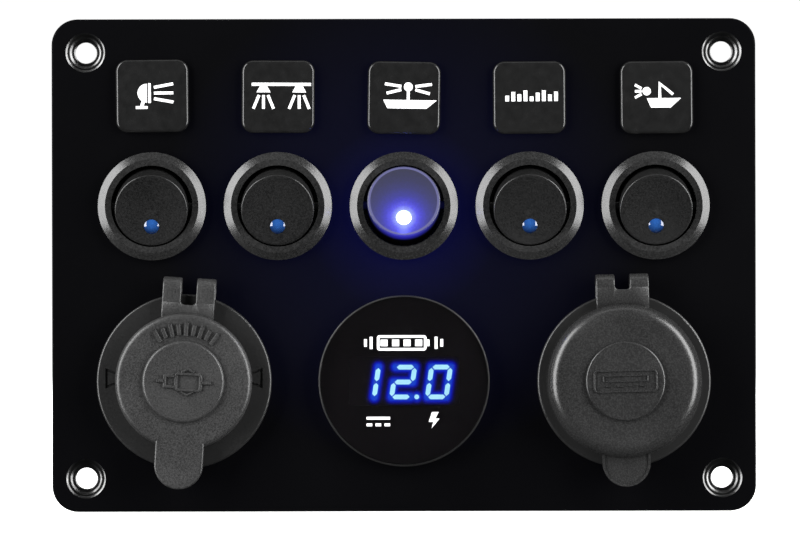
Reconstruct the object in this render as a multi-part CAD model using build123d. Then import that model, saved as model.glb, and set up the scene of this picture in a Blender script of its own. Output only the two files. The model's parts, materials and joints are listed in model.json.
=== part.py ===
from build123d import *
import math
import os

# A black rocker-switch panel for a boat or motorhome: an aluminium plate with five round rocker
# switches, a domed label over each, a 12 V outlet and a charger under flip caps, and a battery
# voltmeter between them.
#
# Everything is drawn in millimetres with the panel lying on its back: x to the right, y up the
# face, z out of the face towards the user. z = 0 is the panel's rear face, which is the mounting
# face, and x = y = 0 is the middle of the four corner holes. stand() turns each piece upright.

# ---------------------------------------------------------------- driving dimensions, mm

# Front plate
PANEL_WIDTH = 150.0
PANEL_HEIGHT = 105.0
PANEL_THICK = 2.5
PANEL_CORNER_R = 5.5
PANEL_EDGE = 0.35
SCREW_SPACING_X = 135.6
SCREW_SPACING_Y = 90.8
SCREW_HOLE_R = 2.25
COUNTERSINK_R = 4.2

# Rocker switches, for a 20 mm round cut-out
SWITCH_XS = [-53.6, -26.8, 0.0, 26.8, 53.6]
SWITCH_Y = 12.6
SWITCHES_ON = [3]
SWITCH_CUTOUT_R = 10.0
BEZEL_R = 11.5
BEZEL_BAND = 1.55
BEZEL_HEIGHT = 2.2
BEZEL_SIDE = 1.25
NECK_R = 9.9
ROCKER_WELL_R = 8.65
BODY_FLAT_X = 8.9
BODY_DEPTH = 14.2
BODY_FLOOR = 1.6
CHAMBER_X = 6.6
CHAMBER_Y = 15.2
WELL_FLOOR_Z = -3.4

ROCKER_R = 7.75
ROCKER_HALF = 3.6
ROCKER_WALL = 1.2
ROCKER_PLATE = 1.6
ROCKER_TILT = 16.0
DISH_R = 7.2
DISH_DEPTH = 0.45
RIM_EDGE = 0.3
PIVOT_Z = 3.1
PIN_R = 1.0
PIN_CLEARANCE = 0.05
PIN_END_X = 9.3
LENS_R = 1.6
LENS_Y = -3.6
LENS_DOME = 0.5
LENS_SUNK = 0.3
POST_R = 1.9
PLUNGER_R = 1.1
PLUNGER_REACH = 8.6
POST_REACH = 4.6

LEVER_PIVOT_Z = -7.0
LEVER_TILT = 8.0
LEVER_LENGTH = 12.0
LEVER_WIDTH = 3.2
LEVER_THICK = 0.6
CONTACT_R = 1.3
CONTACT_THICK = 0.4
CONTACT_Y = 4.6
FULCRUM_GAP = 0.12

BLADE_WIDTH = 4.8
BLADE_THICK = 0.8
BLADE_PITCH = 6.2
BLADE_OUT = 8.0
BLADE_HOLE_R = 0.75

# Labels, each stuck on by hand: x, y and turn in degrees
LABEL_SPOTS = [
    (-53.5, 36.1, 0.5),
    (-26.7, 35.9, -0.3),
    (0.1, 35.6, -1.0),
    (26.8, 35.6, 0.3),
    (53.9, 35.6, 0.4),
]
LABEL_SIZE = 15.5
LABEL_CORNER_R = 2.5
LABEL_THICK = 1.2
LABEL_EDGE = 0.7

# Round sockets, for a 29 mm cut-out
SOCKET_Y = -24.65
OUTLET_X = -46.75
METER_X = 0.0
CHARGER_X = 46.75
SOCKET_CUTOUT_R = 14.5
BARREL_R = 14.0
FLANGE_THICK = 2.0
FLANGE_EDGE = 0.5
NUT_R = 17.6
NUT_BORE_R = 14.4
NUT_THICK = 8.0
NUT_GRIPS = 12
NUT_GRIP_R = 1.1
COVER_THICK = 2.0
TAB_WIDTH = 6.3
TAB_THICK = 0.8
TAB_OUT = 8.0
OUTLET_TAB_SPREAD = 7.2
SOCKET_TAB_SPREAD = 4.5

# 12 V outlet
OUTLET_FLANGE_R = 18.6
OUTLET_BORE_R = 10.95
OUTLET_DEPTH = 50.0
OUTLET_WALL = 3.0
SLEEVE_R = 10.5
SLEEVE_THICK = 0.4
SLEEVE_TOP_Z = 3.8
SLEEVE_BOTTOM_Z = -34.0
SLEEVE_TAIL = 2.0
SLEEVE_TAIL_WIDTH = 3.6
INSULATOR_TOP_Z = -36.0
INSULATOR_THICK = 3.0
RIVET_TAIL = 1.2
MARK_LINE = 0.5
MARK_DEPTH = 0.4

# Voltmeter
METER_FLANGE_R = 18.2
METER_FLANGE_THICK = 2.5
METER_EDGE = 0.25
METER_DEPTH = 16.0
METER_BORE_R = 12.95
METER_LENS_R = 17.8
METER_LENS_THICK = 1.15
DISPLAY_WIDTH = 22.8
DISPLAY_HEIGHT = 10.4

# Charger
CHARGER_FLANGE_R = 18.45
CHARGER_DEPTH = 24.0
CHARGER_BORE_R = 12.6
CHARGER_FACE = 3.0
PORT_WIDTH = 13.1
PORT_HEIGHT = 5.7
PORT_SHEET = 0.3
PORT_LENGTH = 14.2
PORT_PITCH = 9.0
COLLAR_R = 13.3
COLLAR_WALL = 1.0
COLLAR_HEIGHT = 2.0

# Rubber caps and their straps, which sit turned a little in their sockets
OUTLET_CAP_TURN = -3.5
CHARGER_CAP_TURN = 1.2
RING_THICK = 1.0
STRAP_BEND_R = 2.0
STRAP_THICK = 1.0
STRAP_OUTER_X = 5.6
STRAP_INNER_X = 1.6
SPLIT_GAP = 0.05
CAP_LIFT = 0.25

OUTLET_STRAP_TOP = 22.1
OUTLET_BRIDGE_Y = 16.3
OUTLET_CAP_R = 14.5
OUTLET_CAP_THICK = 3.0
OUTLET_CAP_EDGE = 1.2
OUTLET_BOSS_R = 8.7
OUTLET_BOSS_EDGE = 0.65
OUTLET_PLUG_R = 10.2
OUTLET_TAB_WIDTH = 10.3
OUTLET_TAB_END = -22.8

CHARGER_STRAP_TOP = 22.7
CHARGER_BRIDGE_Y = 19.4
CHARGER_CAP_R = 16.3
CHARGER_CAP_THICK = 5.0
CHARGER_CAP_SHOULDER = 2.9
CHARGER_CAP_DISH_R = 13.2
CHARGER_CAP_DISH = 0.3
CHARGER_BOSS_R = 8.4
CHARGER_BOSS_EDGE = 0.4
CHARGER_TAB_WIDTH = 10.2
CHARGER_TAB_END = -22.4
BOSS_HEIGHT = 0.8
TAB_EDGE = 0.4
TAB_RIM = 0.55
TAB_POCKET = 0.2

# ---------------------------------------------------------------- derived levels

FRONT = PANEL_THICK
RING_TOP = FRONT + RING_THICK
FLANGE_TOP = RING_TOP + FLANGE_THICK
METER_TOP = FRONT + METER_FLANGE_THICK
CAP_BACK = FLANGE_TOP + CAP_LIFT
BEZEL_TOP = FRONT + BEZEL_HEIGHT
STRAP_BACK_Z = FRONT + STRAP_THICK / 2
STRAP_BEND_Z = STRAP_BACK_Z + STRAP_BEND_R
STRAP_FRONT_Z = STRAP_BEND_Z + STRAP_BEND_R


# ---------------------------------------------------------------- helpers

def stand(piece):
    """Turn a piece from lying on its back to standing up, face towards -Y."""
    return Rot(90, 0, 0) * piece


def save(name, *solids):
    """Write one node from one or more separate solids."""
    upright = [stand(solid) for solid in solids]
    whole = upright[0] if len(upright) == 1 else Compound(children=upright)
    export_step(whole, f"parts/{name}.step")


def disc(radius, low, high, x=0.0, y=0.0):
    """A round disc between two heights."""
    return Pos(x, y, (low + high) / 2) * Cylinder(radius, high - low)


def tube(outer, inner, low, high, x=0.0, y=0.0):
    """A round tube between two heights."""
    overshoot = 1.0
    return disc(outer, low, high, x, y) - disc(inner, low - overshoot, high + overshoot, x, y)


def block(x_low, x_high, y_low, y_high, z_low, z_high):
    """A rectangular block from its limits."""
    middle = Pos((x_low + x_high) / 2, (y_low + y_high) / 2, (z_low + z_high) / 2)
    return middle * Box(x_high - x_low, y_high - y_low, z_high - z_low)


def turned(*points):
    """A solid turned about the z axis from (radius, height) points."""
    outline = Plane.XZ * Polyline(*points, close=True)
    return revolve(make_face(outline), Axis.Z)


def top_edges(solid):
    """The edges round the highest face of a solid."""
    return solid.faces().sort_by(Axis.Z)[-1].edges()


def place(piece, x, y):
    """Move a piece drawn about its own centre to its place on the panel."""
    return Pos(x, y, 0) * piece


def tilt(piece, height, angle):
    """Turn a piece about an axis along x at the given height."""
    return Pos(0, 0, height) * Rot(angle, 0, 0) * Pos(0, 0, -height) * piece


def blade(width, thick, top, bottom, y=0.0):
    """A flat push-on terminal with a pointed end and a locking hole."""
    lead = 0.8
    hole_up = 3.2
    half = width / 2
    points = [
        (-half, top),
        (half, top),
        (half, bottom + lead),
        (half - lead, bottom),
        (-half + lead, bottom),
        (-half, bottom + lead),
    ]
    flat = Plane.XZ * Polyline(*points, close=True)
    strip = Pos(0, y, 0) * extrude(make_face(flat), thick / 2, both=True)
    hole = Pos(0, y, bottom + hole_up) * Rot(90, 0, 0) * Cylinder(BLADE_HOLE_R, thick * 2)
    return strip - hole


# ---------------------------------------------------------------- panel and labels

def front_panel():
    """The plate: rounded corners, cut-outs for every fitting, countersunk corner holes."""
    outline = RectangleRounded(PANEL_WIDTH, PANEL_HEIGHT, PANEL_CORNER_R)
    plate = extrude(outline, PANEL_THICK)
    plate = chamfer(top_edges(plate), PANEL_EDGE)
    for x in SWITCH_XS:
        plate -= disc(SWITCH_CUTOUT_R, -1, FRONT + 1, x, SWITCH_Y)
    for x in (OUTLET_X, METER_X, CHARGER_X):
        plate -= disc(SOCKET_CUTOUT_R, -1, FRONT + 1, x, SOCKET_Y)
    sink_depth = COUNTERSINK_R - SCREW_HOLE_R
    sink = turned(
        (0, FRONT - sink_depth),
        (SCREW_HOLE_R, FRONT - sink_depth),
        (COUNTERSINK_R, FRONT),
        (COUNTERSINK_R, FRONT + 1),
        (0, FRONT + 1),
    )
    for side in (-1, 1):
        for end in (-1, 1):
            spot = Pos(side * SCREW_SPACING_X / 2, end * SCREW_SPACING_Y / 2, 0)
            plate -= spot * disc(SCREW_HOLE_R, -1, FRONT + 1)
            plate -= spot * sink
    return plate


def label(x, y, turn):
    """A domed square sticker with rounded corners, at its own spot and slight angle."""
    pad = extrude(RectangleRounded(LABEL_SIZE, LABEL_SIZE, LABEL_CORNER_R), LABEL_THICK)
    pad = fillet(top_edges(pad), LABEL_EDGE)
    return Pos(x, y, FRONT) * Rot(0, 0, turn) * pad


# ---------------------------------------------------------------- rocker switch

def switch_housing():
    """Bezel, neck and contact box in one moulding, with snap tabs and pivot pockets."""
    bezel = turned(
        (0, FRONT),
        (BEZEL_R, FRONT),
        (BEZEL_R, FRONT + BEZEL_SIDE),
        (BEZEL_R - BEZEL_BAND, BEZEL_TOP),
        (0, BEZEL_TOP),
    )
    body = disc(NECK_R, -BODY_DEPTH, FRONT)
    flats_top = -4.6
    body &= block(-NECK_R, NECK_R, -NECK_R, NECK_R, flats_top, FRONT) + block(
        -BODY_FLAT_X, BODY_FLAT_X, -NECK_R, NECK_R, -BODY_DEPTH, flats_top
    )
    housing = bezel + body
    tab_reach = 0.9
    tab_top = -0.1
    tab_bottom = -4.2
    tab_half = 2.2
    tab_root = NECK_R - 0.6
    wedge = Plane.XZ * Polyline(
        (tab_root, tab_top),
        (NECK_R + tab_reach, tab_top),
        (NECK_R + tab_reach, tab_top - 0.6),
        (NECK_R - 0.1, tab_bottom),
        (tab_root, tab_bottom),
        close=True,
    )
    tab = extrude(make_face(wedge), tab_half, both=True)
    housing += tab
    housing += mirror(tab, Plane.YZ)
    housing -= disc(ROCKER_WELL_R, WELL_FLOOR_Z, BEZEL_TOP + 1)
    half_x = CHAMBER_X / 2
    half_y = CHAMBER_Y / 2
    housing -= block(-half_x, half_x, -half_y, half_y, -BODY_DEPTH + BODY_FLOOR, WELL_FLOOR_Z + 1)
    pocket_reach = PIN_END_X + 0.15
    pocket = Pos(0, 0, PIVOT_Z) * Rot(0, 90, 0) * Cylinder(PIN_R + PIN_CLEARANCE, 2 * pocket_reach)
    housing -= pocket
    for row in (-1, 0, 1):
        y = row * BLADE_PITCH
        half_w = BLADE_WIDTH / 2
        half_t = BLADE_THICK / 2
        floor_top = -BODY_DEPTH + BODY_FLOOR
        housing -= block(-half_w, half_w, y - half_t, y + half_t, -BODY_DEPTH - 1, floor_top + 1)
    return housing


def rocker():
    """The round button: a dished cup with a spring post behind and a pivot pin each side."""
    top = PIVOT_Z + ROCKER_HALF
    bottom = PIVOT_Z - ROCKER_HALF
    plate_back = top - ROCKER_PLATE
    button = fillet(top_edges(disc(ROCKER_R, bottom, top)), RIM_EDGE)
    dish_sphere_r = (DISH_R ** 2 + DISH_DEPTH ** 2) / (2 * DISH_DEPTH)
    button -= Pos(0, 0, top - DISH_DEPTH + dish_sphere_r) * Sphere(dish_sphere_r)
    button -= disc(ROCKER_R - ROCKER_WALL, bottom - 1, plate_back)
    post_bottom = PIVOT_Z - POST_REACH
    button += disc(POST_R, post_bottom, plate_back + 0.2)
    button -= disc(PLUNGER_R, post_bottom - 1, plate_back - 0.5)
    button -= disc(LENS_R, bottom, top + 1, 0, LENS_Y)
    pin_start = ROCKER_R - ROCKER_WALL / 2
    for side in (-1, 1):
        middle = side * (pin_start + PIN_END_X) / 2
        pin = Pos(middle, 0, PIVOT_Z) * Rot(0, 90, 0) * Cylinder(PIN_R, PIN_END_X - pin_start)
        button += pin
    return button


def indicator_lens():
    """The domed clear lens of the indicator lamp, pressed through the button's face."""
    crown = PIVOT_Z + ROCKER_HALF - LENS_SUNK + LENS_DOME
    low = PIVOT_Z + ROCKER_HALF - ROCKER_PLATE - 0.6
    dome_r = (LENS_R ** 2 + LENS_DOME ** 2) / (2 * LENS_DOME)
    return disc(LENS_R, low, crown, 0, LENS_Y) & (Pos(0, LENS_Y, crown - dome_r) * Sphere(dome_r))


def spring_plunger():
    """The plunger with its round tip, and the spring behind it inside the post."""
    tip_centre = PIVOT_Z - PLUNGER_REACH
    pin_top = tip_centre + 5.7
    plunger = disc(PLUNGER_R, tip_centre, pin_top) + Pos(0, 0, tip_centre) * Sphere(PLUNGER_R)
    spring_top = PIVOT_Z + ROCKER_HALF - ROCKER_PLATE - 0.5
    spring = tube(PLUNGER_R, PLUNGER_R - 0.35, pin_top, spring_top)
    return plunger, spring


def contact_lever():
    """The see-saw strip that the plunger snaps over, with one silver contact."""
    half = LEVER_LENGTH / 2
    low = LEVER_PIVOT_Z - LEVER_THICK / 2
    high = LEVER_PIVOT_Z + LEVER_THICK / 2
    strip = block(-LEVER_WIDTH / 2, LEVER_WIDTH / 2, -half, half, low, high)
    contact = disc(CONTACT_R, low - CONTACT_THICK, low, 0, -CONTACT_Y)
    return strip + contact


def switch_terminals():
    """Supply blade under the see-saw, load blade with its contact foot, and lamp return blade."""
    bottom = -BODY_DEPTH - BLADE_OUT
    fulcrum_top = LEVER_PIVOT_Z - LEVER_THICK / 2 - FULCRUM_GAP
    supply = blade(BLADE_WIDTH, BLADE_THICK, fulcrum_top, bottom)
    sweep_angle = math.radians(LEVER_TILT)
    contact_low = LEVER_PIVOT_Z - (LEVER_THICK / 2 + CONTACT_THICK) / math.cos(sweep_angle)
    contact_low -= (CONTACT_Y + CONTACT_R) * math.tan(sweep_angle)
    foot_top = contact_low - 0.1
    foot_thick = 0.8
    load = blade(BLADE_WIDTH, BLADE_THICK, foot_top, bottom, -BLADE_PITCH)
    load += block(
        -BLADE_WIDTH / 2,
        BLADE_WIDTH / 2,
        -BLADE_PITCH + BLADE_THICK / 2,
        -CONTACT_Y + CONTACT_R,
        foot_top - foot_thick,
        foot_top,
    )
    lamp_top = foot_top - 1.5
    lamp = blade(BLADE_WIDTH, BLADE_THICK, lamp_top, bottom, BLADE_PITCH)
    return supply, load, lamp


# ---------------------------------------------------------------- shared by the round sockets

def ring_nut():
    """The plastic nut that clamps a socket from behind, with finger grips round its rim."""
    rear_edge = 0.8
    nut = tube(NUT_R, NUT_BORE_R, -NUT_THICK, 0)
    rim = nut.edges().filter_by(GeomType.CIRCLE).group_by(Axis.Z)[0].sort_by(SortBy.RADIUS)[-1]
    nut = chamfer(rim, rear_edge)
    for index in range(NUT_GRIPS):
        angle = math.radians(index * 360 / NUT_GRIPS)
        x = NUT_R * math.cos(angle)
        y = NUT_R * math.sin(angle)
        nut -= disc(NUT_GRIP_R, -NUT_THICK - 1, -1.5, x, y)
    return nut


def power_tabs(top, body_bottom):
    """Two 6.3 mm push-on terminals side by side."""
    bottom = body_bottom - TAB_OUT
    upper = blade(TAB_WIDTH, TAB_THICK, top, bottom, SOCKET_TAB_SPREAD)
    lower = blade(TAB_WIDTH, TAB_THICK, top, bottom, -SOCKET_TAB_SPREAD)
    return upper, lower


def tab_slots(spread, low, high):
    """The slots that the two terminals pass through."""
    half_w = TAB_WIDTH / 2
    half_t = TAB_THICK / 2
    upper = block(-half_w, half_w, spread - half_t, spread + half_t, low, high)
    lower = block(-half_w, half_w, -spread - half_t, -spread + half_t, low, high)
    return upper + lower


def strap_band(middle_x, moving, strap_top, foot_y):
    """One band of a strap: half of its bend, and the arm that runs on from it."""
    bend_y = strap_top - STRAP_BEND_R - STRAP_THICK / 2
    half_x = (STRAP_OUTER_X - STRAP_INNER_X) / 2
    bend = Pos(middle_x, bend_y, STRAP_BEND_Z) * Rot(0, 90, 0) * (
        Cylinder(STRAP_BEND_R + STRAP_THICK / 2, 2 * half_x)
        - Cylinder(STRAP_BEND_R - STRAP_THICK / 2, 2 * half_x + 1)
    )
    far = 10.0
    if moving:
        keep = block(-far, far, bend_y, bend_y + far, STRAP_BEND_Z + SPLIT_GAP, STRAP_BEND_Z + far)
        arm_z = STRAP_FRONT_Z
    else:
        keep = block(-far, far, bend_y, bend_y + far, -far, STRAP_BEND_Z - SPLIT_GAP)
        arm_z = STRAP_BACK_Z
    arm = block(
        middle_x - half_x,
        middle_x + half_x,
        foot_y,
        bend_y,
        arm_z - STRAP_THICK / 2,
        arm_z + STRAP_THICK / 2,
    )
    return (bend & keep) + arm


def strap_root(ring_r, strap_top):
    """The ring clamped under the flange, with the fixed half of both bands."""
    middle = (STRAP_INNER_X + STRAP_OUTER_X) / 2
    foot_y = ring_r - 2.0
    root = tube(ring_r, BARREL_R + 0.2, FRONT, RING_TOP)
    for side in (-1, 1):
        root += strap_band(side * middle, False, strap_top, foot_y)
    return root


def strap_end(strap_top, bridge_y, cap_r):
    """The moving half of both bands, and the bridge that joins them to the cap."""
    middle = (STRAP_INNER_X + STRAP_OUTER_X) / 2
    foot_y = cap_r - 3.0
    low = STRAP_FRONT_Z - STRAP_THICK / 2
    high = STRAP_FRONT_Z + STRAP_THICK / 2
    end = block(-STRAP_OUTER_X, STRAP_OUTER_X, foot_y, bridge_y, low, high)
    for side in (-1, 1):
        end += strap_band(side * middle, True, strap_top, foot_y)
    cap_clearance = 0.02
    return end - disc(cap_r + cap_clearance, low - 1, high + 1)


def pull_tab(width, end_y, start_y, low, high):
    """A finger tab with a round end."""
    half = width / 2
    tip_y = end_y + half
    return block(-half, half, tip_y, start_y, low, high) + disc(half, low, high, 0, tip_y)


# ---------------------------------------------------------------- 12 V outlet

def flange_mark(side):
    """The cutter for one direction mark: a thin engraved outline beside the cap."""
    outer_x = side * 16.7
    inner_x = side * 13.7
    points = [(outer_x, 2.9), (outer_x, -1.5), (inner_x, -0.3), (inner_x, 1.7)]
    trapezoid = make_face(Polyline(*points, close=True))
    outline = trapezoid - offset(trapezoid, amount=-MARK_LINE)
    return Pos(0, 0, FLANGE_TOP - MARK_DEPTH) * extrude(outline, MARK_DEPTH + 1, dir=(0, 0, 1))


def outlet_housing():
    """Flange and long threaded barrel, closed at the back."""
    body = disc(OUTLET_FLANGE_R, RING_TOP, FLANGE_TOP)
    body = fillet(top_edges(body), FLANGE_EDGE)
    body += disc(BARREL_R, -OUTLET_DEPTH, RING_TOP)
    body -= disc(OUTLET_BORE_R, -OUTLET_DEPTH + OUTLET_WALL, FLANGE_TOP + 1)
    body -= tab_slots(OUTLET_TAB_SPREAD, -OUTLET_DEPTH - 1, -OUTLET_DEPTH + OUTLET_WALL + 1)
    for side in (-1, 1):
        body -= flange_mark(side)
    return body


def outlet_contact_sleeve():
    """The sheet-metal sleeve that grips the plug, with a tail through to its terminal."""
    sleeve = tube(SLEEVE_R + SLEEVE_THICK, SLEEVE_R, SLEEVE_BOTTOM_Z, SLEEVE_TOP_Z)
    tail_low = INSULATOR_TOP_Z - INSULATOR_THICK - SLEEVE_TAIL
    half = SLEEVE_TAIL_WIDTH / 2
    outer_y = -SLEEVE_R - 0.25
    inner_y = outer_y + SLEEVE_THICK
    return sleeve + block(-half, half, outer_y, inner_y, tail_low, SLEEVE_BOTTOM_Z)


def outlet_insulator():
    """The insulating disc behind the plug, notched for the sleeve's tail."""
    top = INSULATOR_TOP_Z
    bottom = top - INSULATOR_THICK
    rivet_hole = disc(2.05, bottom - 1, top + 1)
    notch_half = SLEEVE_TAIL_WIDTH / 2 + 0.2
    notch = block(-notch_half, notch_half, -SLEEVE_R - 1, -SLEEVE_R + 0.6, bottom - 1, top + 1)
    return disc(SLEEVE_R + SLEEVE_THICK, bottom, top) - rivet_hole - notch


def outlet_centre_contact():
    """The domed rivet that meets the plug's tip."""
    head = fillet(top_edges(disc(4.0, INSULATOR_TOP_Z, INSULATOR_TOP_Z + 1.6)), 1.0)
    return head + disc(2.0, INSULATOR_TOP_Z - INSULATOR_THICK - RIVET_TAIL, INSULATOR_TOP_Z)


def outlet_terminals():
    """Positive strip from the rivet and negative strip from the sleeve's tail."""
    spread = OUTLET_TAB_SPREAD
    half_w = TAB_WIDTH / 2
    half_t = TAB_THICK / 2
    rivet_bottom = INSULATOR_TOP_Z - INSULATOR_THICK - RIVET_TAIL
    strip_low = rivet_bottom - TAB_THICK
    blade_tip = -OUTLET_DEPTH - TAB_OUT
    positive = blade(TAB_WIDTH, TAB_THICK, strip_low, blade_tip, spread)
    positive += block(-half_w, half_w, -2.5, spread + half_t, strip_low, rivet_bottom)
    shelf_top = INSULATOR_TOP_Z - INSULATOR_THICK - SLEEVE_TAIL
    negative = blade(TAB_WIDTH, TAB_THICK, shelf_top, blade_tip, -spread)
    negative += block(-half_w, half_w, -SLEEVE_R, -spread, shelf_top - TAB_THICK, shelf_top)
    return positive, negative


def outlet_cap():
    """The flat rubber cap: disc, raised centre, pull tab, and a plug ring behind."""
    top = CAP_BACK + OUTLET_CAP_THICK
    cap = fillet(top_edges(disc(OUTLET_CAP_R, CAP_BACK, top)), OUTLET_CAP_EDGE)
    boss = disc(OUTLET_BOSS_R, top - 1, top + BOSS_HEIGHT)
    boss = fillet(top_edges(boss), OUTLET_BOSS_EDGE)
    tab_thick = 2.0
    inside_disc = -OUTLET_CAP_R + 2.0
    tab = pull_tab(OUTLET_TAB_WIDTH, OUTLET_TAB_END, inside_disc, top - tab_thick, top)
    tab = fillet(top_edges(tab), TAB_EDGE)
    tab -= disc(OUTLET_CAP_R - OUTLET_CAP_EDGE - 0.1, CAP_BACK - 1, top + 1)
    plug_depth = 1.75
    plug = tube(OUTLET_PLUG_R, OUTLET_PLUG_R - 1.5, CAP_BACK - plug_depth, CAP_BACK + 0.5)
    return cap + boss + tab + plug


# ---------------------------------------------------------------- voltmeter

def meter_housing():
    """Flange with a seat for the lens, and an open threaded barrel."""
    lens_seat = METER_TOP - METER_LENS_THICK
    body = disc(METER_FLANGE_R, FRONT, METER_TOP)
    body = chamfer(top_edges(body), METER_EDGE)
    body += disc(BARREL_R, -METER_DEPTH, FRONT)
    body -= disc(METER_LENS_R + 0.05, lens_seat, METER_TOP + 1)
    body -= disc(METER_BORE_R, -METER_DEPTH - 1, METER_TOP)
    return body


def meter_lens():
    """The smoked round window."""
    return chamfer(top_edges(disc(METER_LENS_R, METER_TOP - METER_LENS_THICK, METER_TOP)), 0.2)


def meter_display():
    """The three-digit lamp block behind the window."""
    half_w = DISPLAY_WIDTH / 2
    half_h = DISPLAY_HEIGHT / 2
    return block(-half_w, half_w, -half_h, half_h, -1.5, METER_TOP - METER_LENS_THICK - 0.15)


def meter_board():
    """The round circuit board with its chip and two trimmers."""
    board = disc(12.6, -3.1, -1.5)
    chip = block(-4, 4, -3, 3, -4.9, -3.1)
    left = block(-9.5, -6.5, -2, 2, -5.6, -3.1)
    right = block(6.5, 9.5, -2, 2, -5.6, -3.1)
    return board, chip, left, right


def rear_cover(depth, bore_r):
    """A round cover that closes a barrel, with a spigot inside and slots for the terminals."""
    cover = disc(BARREL_R, -depth - COVER_THICK, -depth)
    cover += disc(bore_r - 0.1, -depth, -depth + COVER_THICK)
    reach = COVER_THICK + 1
    return cover - tab_slots(SOCKET_TAB_SPREAD, -depth - reach, -depth + reach)


def meter_terminals():
    """The meter's two push-on terminals."""
    return power_tabs(-METER_DEPTH + 5.0, -METER_DEPTH - COVER_THICK)


# ---------------------------------------------------------------- charger

def charger_housing():
    """Flange, sealing collar and threaded barrel, with a window for each port."""
    body = disc(CHARGER_FLANGE_R, RING_TOP, FLANGE_TOP)
    body = fillet(top_edges(body), FLANGE_EDGE)
    body += tube(COLLAR_R, COLLAR_R - COLLAR_WALL, FLANGE_TOP - 0.5, FLANGE_TOP + COLLAR_HEIGHT)
    body += disc(BARREL_R, -CHARGER_DEPTH, RING_TOP)
    body -= disc(CHARGER_BORE_R, -CHARGER_DEPTH - 1, FLANGE_TOP - CHARGER_FACE)
    for row in (-1, 1):
        y = row * PORT_PITCH / 2
        half_w = PORT_WIDTH / 2
        half_h = PORT_HEIGHT / 2
        body -= block(-half_w, half_w, y - half_h, y + half_h, 0, FLANGE_TOP + 1)
    return body


def charger_port_shell(y):
    """The folded metal shell of one port."""
    top = FLANGE_TOP - 0.3
    half_w = PORT_WIDTH / 2
    half_h = PORT_HEIGHT / 2
    shell = block(-half_w, half_w, y - half_h, y + half_h, top - PORT_LENGTH, top)
    in_w = half_w - PORT_SHEET
    in_h = half_h - PORT_SHEET
    floor = top - PORT_LENGTH + PORT_SHEET
    return shell - block(-in_w, in_w, y - in_h, y + in_h, floor, top + 1)


def charger_port_tongue(y):
    """The plastic tongue inside one port, with its four contact strips."""
    tongue_top = FLANGE_TOP - 2.0
    tongue_low = FLANGE_TOP - 0.3 - PORT_LENGTH + PORT_SHEET
    base_top = tongue_low + 3.0
    in_w = PORT_WIDTH / 2 - PORT_SHEET
    in_h = PORT_HEIGHT / 2 - PORT_SHEET
    slot = 0.75
    tongue_thick = 1.85
    tongue_y = y + in_h - slot - tongue_thick
    tongue = block(-5.55, 5.55, tongue_y, tongue_y + tongue_thick, base_top, tongue_top)
    tongue += block(-in_w, in_w, y - in_h, y + in_h, tongue_low, base_top)
    strip_thick = 0.12
    for column in (-1.5, -0.5, 0.5, 1.5):
        x = column * 2.4
        low_y = tongue_y - strip_thick
        tongue += block(x - 0.5, x + 0.5, low_y, tongue_y, base_top, tongue_top - 0.8)
    return tongue


def charger_board():
    """The round circuit board with its coil, capacitors and chip."""
    top = FLANGE_TOP - 0.3 - PORT_LENGTH
    bottom = top - 1.6
    board = disc(12.3, bottom, top)
    coil = tube(4.5, 2.0, bottom - 4.5, bottom, -5.0, 2.5)
    capacitor_a = disc(3.0, bottom - 8.0, bottom, 5.0, 5.5)
    capacitor_b = disc(3.0, bottom - 8.0, bottom, 6.0, -4.5)
    chip = block(-7, -2, -9, -5, bottom - 1.8, bottom)
    return board, coil, capacitor_a, capacitor_b, chip


def charger_terminals():
    """The charger's two push-on terminals."""
    return power_tabs(-CHARGER_DEPTH + 3.5, -CHARGER_DEPTH - COVER_THICK)


def charger_cap():
    """The domed rubber cap: hollow dome, dished face, base lip, raised centre and a pull tab."""
    top = CAP_BACK + CHARGER_CAP_THICK
    dome = fillet(top_edges(disc(CHARGER_CAP_R, CAP_BACK, top)), CHARGER_CAP_SHOULDER)
    dish_sphere_r = (CHARGER_CAP_DISH_R ** 2 + CHARGER_CAP_DISH ** 2) / (2 * CHARGER_CAP_DISH)
    dome -= Pos(0, 0, top - CHARGER_CAP_DISH + dish_sphere_r) * Sphere(dish_sphere_r)
    lip = disc(CHARGER_CAP_R + 0.25, CAP_BACK, CAP_BACK + 0.6)
    boss = disc(CHARGER_BOSS_R, top - 1, top - CHARGER_CAP_DISH + BOSS_HEIGHT)
    boss = fillet(top_edges(boss), CHARGER_BOSS_EDGE)
    tab_low = CAP_BACK + 0.6
    tab_top = tab_low + 1.6
    inside_dome = -CHARGER_CAP_R + 1.0
    tab = pull_tab(CHARGER_TAB_WIDTH, CHARGER_TAB_END, inside_dome, tab_low, tab_top)
    pocket_width = CHARGER_TAB_WIDTH - 2 * TAB_RIM
    pocket_end = CHARGER_TAB_END + TAB_RIM
    tab -= pull_tab(pocket_width, pocket_end, inside_dome, tab_top - TAB_POCKET, tab_top + 1)
    tab -= disc(CHARGER_CAP_R - 0.8, CAP_BACK - 1, top + 1)
    wall = 1.7
    roof = 1.6
    hollow = disc(CHARGER_CAP_R - wall, CAP_BACK - 1, top - roof)
    return dome + lip + boss + tab - hollow


# ---------------------------------------------------------------- the assembly

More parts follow.
